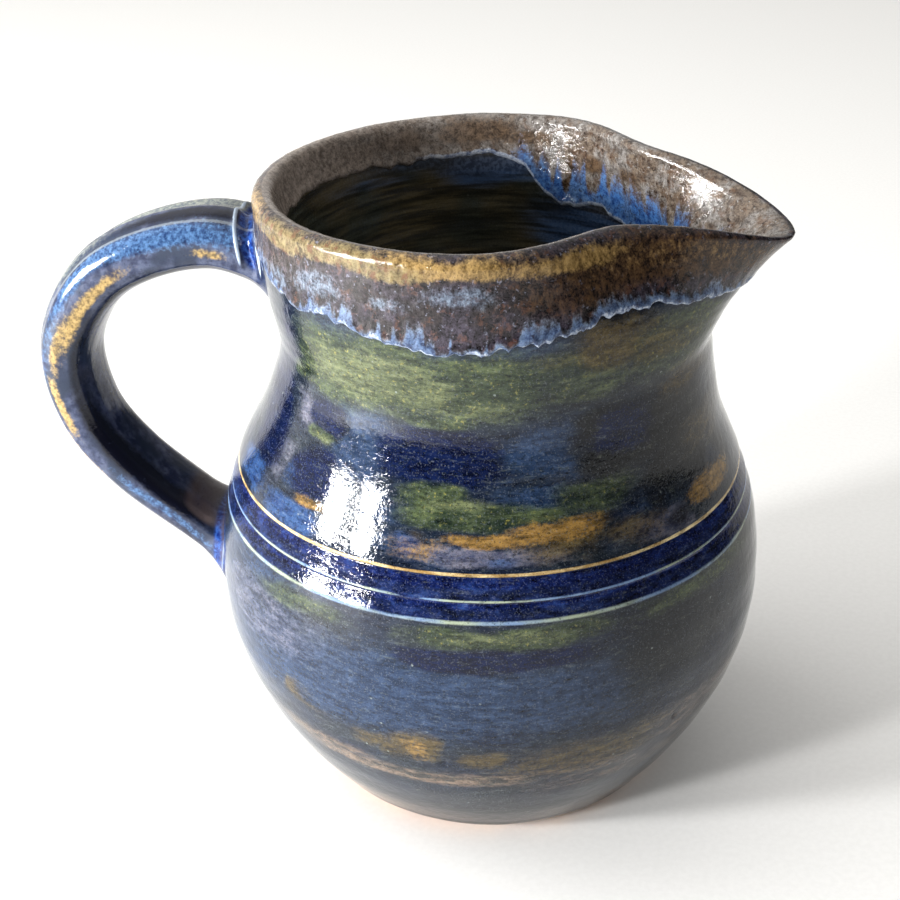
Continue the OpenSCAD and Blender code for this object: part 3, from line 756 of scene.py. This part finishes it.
def rim_material():
    m = Paint("rim_glaze", 0.1, 1.48)
    grain = m.noise(0.36, 2)
    fine = m.noise(0.85, 3, rough=0.7)
    streak = m.noise(1.25, 4, stretch=(1, 1, 1.7), rough=0.7)
    curdle = m.noise(1.35, 4, rough=0.7, warp=0.35)
    slow = m.noise(5, 3, rough=0.6)
    inner = m.mask("runs_and_painted_light", 2)
    outer = m.maths("SUBTRACT", 1.0, inner)
    mottle = m.maths("ADD", m.times(streak, outer), m.times(curdle, inner))
    finer = m.maths("MULTIPLY_ADD", fine, 0.3, m.times(mottle, 0.45))
    m.ragged = m.maths("MULTIPLY_ADD", grain, 0.25, finer)
    m.contrast = (0.38, 0.62)
    glaze, lay = m.glaze, m.lay

    dark = m.tones(slow, 0.42, 0.6, glaze((20, 17, 20), (76, 70, 82)),
                   glaze((18, 16, 17), (58, 52, 54)))
    dark = m.specks(dark, (1.7, 0.54, 0.66, 0.5, (98, 66, 50)),
                    (1.15, 0.57, 0.66, 0.85, (24, 22, 28)), (0.95, 0.6, 0.7, 0.8, (122, 124, 140)))
    grey = m.tones(slow, 0.42, 0.6, glaze((74, 68, 64), (142, 138, 134)),
                   glaze((62, 52, 46), (122, 110, 98)))
    grey = m.specks(grey, (2.1, 0.52, 0.66, 0.5, (98, 74, 56)),
                    (1.05, 0.58, 0.68, 0.8, (34, 29, 27)), (0.8, 0.6, 0.7, 0.6, (160, 160, 158)))
    m.colour = m.mix(inner, dark, grey)
    lay("warm", 2, glaze((32, 23, 17), (94, 71, 46)), 1.3, 0.3, 0.85)
    cloudy = m.specks(glaze((70, 80, 100), (134, 150, 168)), (1.2, 0.5, 0.62, 0.6, (60, 48, 52)))
    lay("warm", 3, cloudy, 1.5, 0.3, 0.85)
    azure = m.tones(slow, 0.4, 0.6, glaze((24, 54, 116), (84, 132, 190)),
                    glaze((44, 70, 116), (104, 138, 180)))
    azure = m.mix(outer, azure, glaze((48, 60, 90), (108, 128, 158)))
    azure = m.specks(azure, (1.2, 0.57, 0.67, 0.7, (50, 42, 50)))
    lay("runs_and_painted_light", 0, azure, 1.5, 0.25)
    lay("warm", 1, glaze((100, 79, 46), (178, 150, 98)), 1.8, 0.35, 0.85)
    gold = m.specks(glaze((78, 66, 42), (142, 128, 90)), (1.7, 0.5, 0.66, 0.8, (92, 54, 34)))
    lay("warm", 0, gold, 1.5, 0.3)
    lay("runs_and_painted_light", 1, glaze((96, 114, 148), (196, 204, 214)), 2.0, 0.3, 0.95)
    # painted light: a lighter grey over the rim near the handle, where the window's light falls
    m.over(m.mask("runs_and_painted_light", 3), glaze((110, 100, 92), (176, 164, 154)))
    m.veil(grain, 0.6, 0.74, 0.6, (16, 13, 14))
    return m.finish(m.ramp(m.ragged, 0.3, 0.8, 0.05, 0.2),
                    (mottle, 0.25, 0.6), (fine, 0.1, 0.5), (grain, 0.05, 0.5))


# ------------------------------------------------------------------ liner glaze
FINGER_PITCH, FINE_PITCH = 4.6, 1.53    # rise of the throwing rings for each turn, mm
LINER_BLUE = [
    (66, 103, 22, 5, .9), (100, 113, 16, 2.6, .7), (30, 98, 20, 8, .6), (140, 114.5, 20, 1.5, .4),
    (-120, 113, 40, 2, .5)]
LINER_HAZE = [
    (96, 115.6, 20, 1.9, 1), (70, 109.5, 14, 2.6, .6), (125, 116.5, 20, 1.4, .6),
    (35, 108, 26, 2.2, .6)]


def liner_rows():
    """Radius and height of the hollow's clay wall, from the floor's middle upwards."""
    reach = float(smooth_r(FLOOR_TOP)) - WALL - FLOOR_FLAT_R
    rise = FLOOR_TOP - FLOOR_T
    bend = np.radians(np.arange(2, 90, 3.5))
    r = np.concatenate([np.arange(1.2, FLOOR_FLAT_R, 1.3), FLOOR_FLAT_R + reach * np.sin(bend)])
    z = np.concatenate([np.full(len(r) - len(bend), FLOOR_T), FLOOR_TOP - rise * np.cos(bend)])
    wall = np.arange(FLOOR_TOP + 0.4, 119.5, 0.62)
    return np.concatenate([r, smooth_r(wall) - WALL]), np.concatenate([z, wall])


def liner_glaze():
    a = np.arange(360) * 1.0
    r_row, z_row = liner_rows()
    r_row = r_row + lip_lift(z_row)
    along = np.concatenate([[0], np.cumsum(np.hypot(np.diff(r_row), np.diff(z_row)))])
    n_r, n_z = np.gradient(z_row), -np.gradient(r_row)
    size = np.hypot(n_r, n_z)
    n_r, n_z = -(n_r / size)[:, None], -(n_z / size)[:, None]
    turn = np.radians(a)[None, :]
    a_grid = np.broadcast_to(a[None, :], (len(r_row), len(a)))
    under_rim = round_curve(RIM_INSIDE, a)[None, :]
    share = np.clip((z_row[:, None] - 95) / (z_row[-1] - 95), 0, 1)
    z = z_row[:, None] + (under_rim + 2.4 - z_row[-1]) * share
    r = np.where(share > 0, smooth_r(z) - WALL + lip_lift(z), r_row[:, None])
    p = round_points(r, z, a_grid)
    rings = (0.075 * np.sin(2 * np.pi * along[:, None] / FINGER_PITCH + turn)
             + 0.03 * np.sin(2 * np.pi * along[:, None] / FINE_PITCH + turn))
    rings = rings * (0.4 + 0.9 * cloud(p, (25, 25, 7), 71, 2)) * smoothstep(2, 14, along)[:, None]
    rings = rings * (1 - smoothstep(112, 118, z))
    thick = LINER + rings + 0.15 * (cloud(p, 3.5, 72, 2) - 0.5)
    thick = thick - 0.55 * smoothstep(0.9, 2.2, z - under_rim)
    front = pulled(r + n_r * thick, z + n_z * thick, a_grid)
    back = pulled(r - n_r * SEATED, z - n_z * SEATED, a_grid)[::-1][::4]
    covers = patches(a_grid, z, p, LINER_BLUE, 73), patches(a_grid, z, p, LINER_HAZE, 75)
    masks = {"liner": [np.concatenate([c, c[::-1][::4]]) for c in covers]}
    return ring_mesh("liner_coat", np.concatenate([front, back]), masks=masks,
                     first_pole=(0, 0, FLOOR_T + LINER), last_pole=(0, 0, FLOOR_T - SEATED))


def liner_material():
    m = Paint("liner_glaze", 0.24, 1.47)
    fine = m.noise(0.8, 3)
    rings = m.ragged = m.noise(1.6, 4, stretch=(8, 8, 0.6), rough=0.6)
    slow = m.noise(12, 2)
    m.colour = m.tones(slow, 0.4, 0.65, m.tones(rings, 0.35, 0.7, (46, 43, 34), (98, 88, 62)),
                       m.tones(rings, 0.35, 0.7, (40, 42, 36), (74, 76, 64)))
    navy = m.tones(rings, 0.35, 0.65, (36, 50, 72), (70, 92, 124))
    m.lay("liner", 0, navy, 0.9, 0.35)
    haze = m.tones(fine, 0.35, 0.65, (40, 52, 74), (80, 94, 118))
    m.lay("liner", 1, haze, 1.2, 0.5, 0.8)
    m.over(m.times(m.dots(3.4, 0.09, 0.05), 0.35), (110, 112, 100))
    return m.finish(m.ramp(fine, 0.3, 0.7, 0.2, 0.34),
                    (rings, 0.12, 0.4), (fine, 0.05, 0.35))


# ------------------------------------------------------------------ clay body
def clay_body():
    a = np.arange(240) * 1.5
    out_z = np.concatenate([np.arange(1.0, 60, 3.0), [61, 62.3, 65.2, 65.6, 69.4, 69.8],
                            np.arange(72, LIP_Z, 3.0)])
    arc = np.radians(np.arange(0, 181, 20))
    in_r, in_z = liner_rows()
    in_r, in_z = (in_r + lip_lift(in_z))[::-1][::4], in_z[::-1][::4]
    foot_bevel = FOOT_R + np.array([-1.1, -0.75, -0.3, 0.02])
    base_r = np.concatenate([np.arange(1.0, FOOT_R - 1.4, 0.8), foot_bevel])
    base_z = np.concatenate([np.zeros(len(base_r) - 4), [0, 0.06, 0.28, 0.62]])
    cut_out = np.interp(out_z, GROOVE_LEVELS, CLAY_CUT)
    r = np.concatenate([base_r, smooth_r(out_z) - cut_out, LIP_R + BEAD_R * np.cos(arc), in_r])
    z = np.concatenate([base_z, out_z, LIP_Z + BEAD_R * np.sin(arc), in_z])
    r_grid = np.broadcast_to(r[:, None], (len(r), len(a))).copy()
    z_grid = np.broadcast_to(z[:, None], r_grid.shape).copy()
    a_grid = np.broadcast_to(a[None, :], r_grid.shape)
    # the wire that cut the pot off the wheel left shell-shaped ridges on the base
    under = np.arange(len(r)) < len(base_r) - 3
    x, y = r_grid * np.cos(np.radians(a_grid)), r_grid * np.sin(np.radians(a_grid))
    sweep = np.hypot(x + 30, y - 12)
    ridge = 0.16 * (0.5 + 0.5 * np.sin(2 * np.pi * sweep / 3.1))
    ridge = ridge * (0.5 + cloud(np.stack([x, y, 0 * x], -1), 9, 81))
    ridge = ridge * smoothstep(0, 3, FOOT_R - 1.4 - r_grid)
    z_grid[under] += ridge[under]
    chatter = 0.12 * (cloud(round_points(r_grid, z_grid, a_grid), (3, 3, 0.8), 82, 2) - 0.5)
    foot = (z_grid < 3.5) & (z_grid > 0.3) & (r_grid > FOOT_R - 1)
    r_grid = r_grid + np.where(foot, chatter, 0)
    rings = pulled(r_grid, z_grid, a_grid)
    return ring_mesh("clay_body", rings, first_pole=(0, 0, 0.1), last_pole=(0, 0, FLOOR_T))


def clay_material(name):
    m = Paint(name, 0.75)
    grit = m.noise(0.5, 3, rough=0.7)
    m.colour = m.tones(m.noise(8, 3), 0.35, 0.65, (150, 104, 66), (186, 142, 98))
    m.veil(grit, 0.6, 0.72, 0.7, (84, 58, 40))
    m.over(m.times(m.dots(1.3, 0.16, 0.1), 0.7), (60, 44, 36))
    return m.finish(m.ramp(grit, 0.3, 0.7, 0.6, 0.85),
                    (grit, 0.12, 0.6), (m.noise(2.2, 2), 0.2, 0.3))


# ------------------------------------------------------------------ handle
def strap_at(s):
    spans = len(STRAP_PATH) - 1
    padded = np.concatenate([[2 * STRAP_PATH[0] - STRAP_PATH[1]], STRAP_PATH,
                             [2 * STRAP_PATH[-1] - STRAP_PATH[-2]]])
    u = np.clip(s, 0, 0.9999) * spans
    k = np.floor(u).astype(int)
    t = (u - k)[..., None]
    p0, p1, p2, p3 = (padded[k + i] for i in range(4))
    return 0.5 * (2 * p1 + (p2 - p0) * t + (2 * p0 - 5 * p1 + 4 * p2 - p3) * t ** 2
                  + (3 * p1 - p0 - 3 * p2 + p3) * t ** 3)


def strap_points(s, angle, grow):
    """Points of the strap's skin at shares s of its length and angles round it."""
    p = strap_at(s)
    d = strap_at(s + 0.004) - strap_at(s - 0.004)
    d = d / np.linalg.norm(d, axis=-1, keepdims=True)
    w = STRAP_W[0] + (STRAP_W[1] - STRAP_W[0]) * s + 2 * grow
    t = STRAP_T[0] + (STRAP_T[1] - STRAP_T[0]) * s + 2 * grow
    c, n = np.cos(np.radians(angle)), np.sin(np.radians(angle))
    y = w / 2 * np.sign(c) * np.abs(c) ** STRAP_SQUARE
    up = t / 2 * np.sign(n) * np.abs(n) ** STRAP_SQUARE
    top = smoothstep(0, 0.35, n)
    side = y / w
    up = up - top * (0.85 * hill(side, 0.1, 0.13) - 0.2 * hill(side, -0.1, 0.07)
                     + 0.25 * hill(side, -0.3, 0.06) - 0.12 * hill(side, 0.33, 0.1))
    x = p[..., 0] + d[..., 1] * up
    z = p[..., 1] - d[..., 0] * up
    turn = math.radians(HANDLE_TURN)
    return np.stack([x * math.cos(turn) - y * math.sin(turn),
                     x * math.sin(turn) + y * math.cos(turn), z], axis=-1)


def wall_depth(p):
    """How far inside the glazed wall a point lies, in mm; below 0 is outside."""
    z = p[..., 2]
    wall = smooth_r(z) + GLAZE + LIP_OVAL * pull(z)
    return wall - np.hypot(p[..., 0] - lean(z), p[..., 1])


STRAP_LONG = 123.2


def strap_span(angle, sunk=2.2):
    """Shares of the strap's length where each of its fibres sinks into the wall."""
    s = np.linspace(0.0, 1.0, 900)
    depth = wall_depth(strap_points(s[:, None], angle[None, :], 0.5))
    half = len(s) // 2
    first = [s[:half][depth[:half, k] > sunk].max(initial=0.0) for k in range(len(angle))]
    last = [s[half:][depth[half:, k] > sunk].min(initial=1.0) for k in range(len(angle))]
    return np.array(first), np.array(last)


def strap_form(s, a_grid):
    """Swelling into the wall, the pressed hollow above the upper joint, and helpers."""
    off = -wall_depth(strap_points(s, a_grid, 0.5))
    upper = s < 0.5
    outward, front = np.sin(np.radians(a_grid)), -np.cos(np.radians(a_grid))
    flare = np.where(upper, 1.5, 2.1) * np.clip(1 - off / np.where(upper, 4.6, 6.5), 0, 1.6) ** 2
    facing = smoothstep(-0.1, 0.6, outward + 0.5 * front) * smoothstep(-0.75, -0.2, front)
    hollow = np.where(upper, 1.25 * hill(off, 2.0, 1.35) - 0.32 * hill(off, 4.1, 0.45), 0) * facing
    return off, upper, outward, front, flare, hollow, facing


def handle_glaze():
    angle = np.arange(128) * 360 / 128
    rows = 300
    start, stop = strap_span(angle)
    even = np.linspace(0, 1, rows)
    share = 0.55 * even + 0.45 * (0.5 - 0.5 * np.cos(np.pi * even))
    s = start[None, :] + (stop - start)[None, :] * share[:, None]
    a_grid = np.broadcast_to(angle[None, :], s.shape)
    off, upper, outward, front, flare, hollow, facing = strap_form(s, a_grid)
    length = s * STRAP_LONG
    fibres = np.stack([np.cos(np.radians(a_grid)) * 8, np.sin(np.radians(a_grid)) * 5, length], -1)
    lines = ((cloud(fibres, (1.6, 1.6, 60), 91, 2) - 0.5) * 0.3
             + (cloud(fibres, (8, 8, 20), 92, 2) - 0.5) * 0.5)
    grow = 0.5 + flare - hollow + lines * smoothstep(0, 5, off)
    rings = strap_points(s, a_grid, grow)
    first, last = rings[0].mean(0), rings[-1].mean(0)

    side = np.cos(np.radians(a_grid)) * 0.5
    around = np.degrees(np.arctan2(outward, front))
    tables = STRAP_OCHRE, STRAP_AZURE, STRAP_KHAKI, STRAP_DARK
    covers = [strap_patches(length, around, table, fibres, 93 + k)
              for k, table in enumerate(tables)]
    # painted highlight: a pale line along the strap's ridge, on its upper, outward-facing part
    ridge = (hill(side, -0.33, 0.028) * smoothstep(0.2, 0.6, outward)
             * smoothstep(6, 12, length) * (1 - smoothstep(38, 52, length)))
    seam = np.where(upper, np.maximum(hill(off, 4.15, 0.5), hill(off, 0.35, 0.4)) * facing,
                    0.6 * hill(off, 0.4, 0.5))
    pool = np.where(upper, hill(off, 2.2, 1.5) * facing, hill(off, 1.2, 1.5))
    brown = hill(off, 5.5, 4.0) * smoothstep(-0.2, -0.7, outward) + 0.6 * hill(off, 0.6, 0.8)
    masks = {"strap": covers, "joint": (ridge, seam, pool, np.where(upper, 0, brown))}
    return ring_mesh("handle_coat", rings, first_pole=first, last_pole=last, masks=masks)


# Painted patches of the strap: mm along it from inside the neck, degrees round it from its
# front edge over its outer face, half sizes, strength.
STRAP_OCHRE = [
    (42, -8, 10, 10, 1), (66, 14, 7, 12, 1), (16, -8, 3, 6, .7), (52, 4, 6, 9, .7),
    (80, 40, 8, 14, .5), (30, 128, 10, 12, .4), (100, 80, 8, 16, .4), (60, 170, 14, 20, .6)]
STRAP_AZURE = [
    (24, 27, 10, 18, 1), (36, 24, 11, 13, .9), (14, 24, 5, 24, .6), (52, 28, 9, 20, .45),
    (80, 120, 16, 22, .5), (100, 4, 14, 8, .6)]
STRAP_KHAKI = [
    (22, 106, 16, 20, .9), (46, 84, 16, 24, .55), (50, 190, 30, 40, .5), (84, 75, 22, 24, .4),
    (92, -38, 6, 10, .5)]
STRAP_DARK = [
    (86, -34, 24, 26, 1), (56, -30, 14, 12, .6), (20, 68, 12, 12, .7), (28, -44, 30, 6, .7),
    (104, 30, 10, 40, .5)]


def strap_clay(name, sunk_by, from_share, to_share, swells):
    """Clay under the handle's glaze: the strap, or a joint's collar at one of its ends."""
    angle = np.arange(48) * 360 / 48
    start, stop = strap_span(angle)
    share = np.linspace(from_share, to_share, 70)
    s = start[None, :] + (stop - start)[None, :] * share[:, None]
    a_grid = np.broadcast_to(angle[None, :], s.shape)
    _, _, _, _, flare, hollow, _ = strap_form(s, a_grid)
    rings = strap_points(s, a_grid, -sunk_by + swells * flare - hollow)
    return ring_mesh(name, rings, first_pole=rings[0].mean(0), last_pole=rings[-1].mean(0))


def strap_patches(length, around, table, p, seed):
    """Patches on the strap: place along it in mm and round it in degrees, half sizes, strength.
    0 degrees round is the front edge, 90 the outer face, 180 the back edge."""
    slow = (cloud(p, (3, 3, 9), seed) - 0.5) * 2
    swapped = [(turn, at, half_turn, half, strength)
               for at, turn, half, half_turn, strength in table]
    return painted(swapped, around + slow * 10, length + slow * 4)


def handle_material():
    m = Paint("handle_glaze", 0.09)
    fine = m.noise(0.75, 3, rough=0.65)
    grain = m.noise(0.34, 1)
    brushed = m.noise(2.4, 4, rough=0.6)
    m.ragged = m.maths("MULTIPLY_ADD", fine, 0.5, m.times(brushed, 0.5))
    m.colour = m.tones(brushed, 0.35, 0.68, (34, 43, 72), (88, 96, 120))
    m.veil(m.noise(9, 2), 0.42, 0.62, 1, (44, 54, 74))
    khaki = m.tones(fine, 0.35, 0.65, (94, 104, 112), (150, 154, 146))
    m.lay("strap", 2, khaki, 1.0, 0.35)
    m.lay("strap", 3, (18, 20, 34), 0.8, 0.3)
    m.lay("strap", 1, m.tones(fine, 0.3, 0.7, (40, 62, 100), (92, 124, 162)), 1.9, 0.3)
    m.lay("strap", 0, m.tones(fine, 0.3, 0.7, (110, 92, 58), (182, 156, 104)), 1.6, 0.3)
    pool = m.tones(fine, 0.35, 0.7, (16, 34, 96), (60, 100, 170))
    m.veil(m.mask("joint", 2), 0.35, 0.8, 1, pool)
    m.veil(m.mask("joint", 3), 0.3, 0.8, 0.8, (92, 80, 78))
    # painted highlight: the pale line along the strap's ridge
    m.lay("joint", 0, (150, 158, 164), 1.2, 0.3, 0.5)
    m.veil(m.mask("joint", 1), 0.45, 0.8, 1, (176, 190, 206))
    m.veil(grain, 0.6, 0.76, 0.5, (14, 16, 28))
    return m.finish(m.ramp(m.ragged, 0.3, 0.8, 0.05, 0.14),
                    (brushed, 0.16, 0.3), (fine, 0.09, 0.45), (grain, 0.045, 0.45))


# ------------------------------------------------------------------ the pieces
finish_piece(clay_body(), clay_material("stoneware_clay"), "stoneware_clay", "body")
finish_piece(outer_glaze(), outer_material(), "blue_glaze", "outer_glaze")
finish_piece(liner_glaze(), liner_material(), "liner_glaze", "liner_glaze")
finish_piece(rim_glaze(), rim_material(), "rim_glaze", "rim_glaze")
finish_piece(handle_glaze(), handle_material(), "handle_glaze", "handle_glaze")
hidden_clay = clay_material("handle_stoneware")
finish_piece(strap_clay("clay_strap", 0.4, 0, 1, 0), hidden_clay, "handle_clay", "handle")
finish_piece(strap_clay("upper_luting", 0.3, 0, 0.05, 1), hidden_clay, "luting_clay",
             "handle_upper_joint")
finish_piece(strap_clay("lower_luting", 0.3, 0.93, 1, 1), hidden_clay, "luting_clay",
             "handle_lower_joint")


# ------------------------------------------------------------------ stage, light, camera
def stage_material():
    m = Paint("table", 0.55)
    weave = m.noise(1.2, 3)
    m.colour = m.tones(weave, 0.3, 0.7, (0.83, 0.825, 0.81, 1), (0.86, 0.855, 0.84, 1))
    return m.finish(None, (weave, 0.05, 0.2))


TABLE = 1.2                 # half the table's width, m
mesh = bpy.data.meshes.new("table_top")
mesh.from_pydata([(-TABLE, -TABLE, 0), (TABLE, -TABLE, 0), (TABLE, TABLE, 0),
                  (-TABLE, TABLE, 0)], [], [(0, 1, 2, 3)])
table_top = bpy.data.objects.new("table_top", mesh)
table_top.data.materials.append(stage_material())
bpy.context.scene.collection.objects.link(table_top)

POT_MIDDLE = np.array([0, 0, 0.07])


def direction(azimuth, elevation):
    """Unit vector to a place seen that many degrees right of the front and up."""
    a, e = math.radians(azimuth), math.radians(elevation)
    return np.array([math.sin(a) * math.cos(e), -math.cos(a) * math.cos(e), math.sin(e)])


def stand(thing, x_axis, y_axis, z_axis, at):
    """Puts a lamp or the camera at a point, turned to these axes."""
    rows = [tuple(float(v) for v in row) for row in zip(x_axis, y_axis, z_axis, at)]
    thing.matrix_world = Matrix(rows + [(0, 0, 0, 1)])
    bpy.context.scene.collection.objects.link(thing)


def soft_box(name, azimuth, elevation, away, width, height, power):
    light = bpy.data.lights.new(name, "AREA")
    light.shape = "RECTANGLE"
    light.size, light.size_y, light.energy = width, height, power
    lamp = bpy.data.objects.new(name, light)
    z_axis = direction(azimuth, elevation)
    x_axis = np.cross([0, 0, 1], z_axis)
    x_axis /= np.linalg.norm(x_axis)
    stand(lamp, x_axis, np.cross(z_axis, x_axis), z_axis, POT_MIDDLE + away * z_axis)
    return lamp


soft_box("window_left", -59.2, 11.2, 0.9, 0.105, 0.13, 11)
soft_box("window_right", -43.4, 12.8, 0.9, 0.08, 0.14, 8)
for lamp in (soft_box("ceiling", -98, 42, 1.6, 1.4, 1.2, 12),
             soft_box("fill", 70, 40, 1.8, 1.8, 1.2, 9)):
    lamp.visible_glossy = False

world = bpy.data.worlds.new("soft_room")
bpy.context.scene.world = world
world.use_nodes = True
nodes, links = world.node_tree.nodes, world.node_tree.links
nodes.clear()


def world_range(value, *limits):
    node = nodes.new("ShaderNodeMapRange")
    node.interpolation_type = "SMOOTHSTEP"
    links.new(value, node.inputs["Value"])
    for socket, limit in zip(list(node.inputs)[1:5], limits):
        socket.default_value = limit
    return node.outputs[0]


def world_maths(operation, first, second):
    node = nodes.new("ShaderNodeMath")
    node.operation = operation
    links.new(first, node.inputs[0])
    links.new(second, node.inputs[1])
    return node.outputs[0]


out = nodes.new("ShaderNodeOutputWorld")
back = nodes.new("ShaderNodeBackground")
links.new(back.outputs[0], out.inputs[0])
back.inputs["Color"].default_value = (1.0, 0.985, 0.96, 1)
where = nodes.new("ShaderNodeTexCoord").outputs["Generated"]
toward = nodes.new("ShaderNodeVectorMath")
toward.operation = "DOT_PRODUCT"
links.new(where, toward.inputs[0])
toward.inputs[1].default_value = direction(-118, 12)
split = nodes.new("ShaderNodeSeparateXYZ")
links.new(where, split.inputs[0])
lit = world_maths("ADD", world_range(toward.outputs["Value"], 0.0, 0.75, 0.035, 0.95),
                  world_range(split.outputs["Z"], 0.5, 0.9, 0.0, 0.5))
# a plain pale backdrop where the world itself is in view
in_view = nodes.new("ShaderNodeLightPath").outputs["Is Camera Ray"]
links.new(world_maths("MAXIMUM", lit, in_view), back.inputs["Strength"])

camera_data = bpy.data.cameras.new("camera")
camera_data.sensor_width = 36.0
camera_data.lens = 57.05
camera_data.clip_start, camera_data.clip_end = 0.01, 50
camera = bpy.data.objects.new("camera", camera_data)
right, up, backward = ((0.97715, 0.21076, -0.02754), (-0.07767, 0.47468, 0.87673),
                       (0.19785, -0.85456, 0.48020))
stand(camera, right, up, backward, (0.04963, -0.24805, 0.20622))
bpy.context.scene.camera = camera
bpy.context.scene.view_settings.view_transform = "Standard"
bpy.context.scene.view_settings.gamma = 0.88

# ------------------------------------------------------------------ the end
bpy.context.view_layer.update()
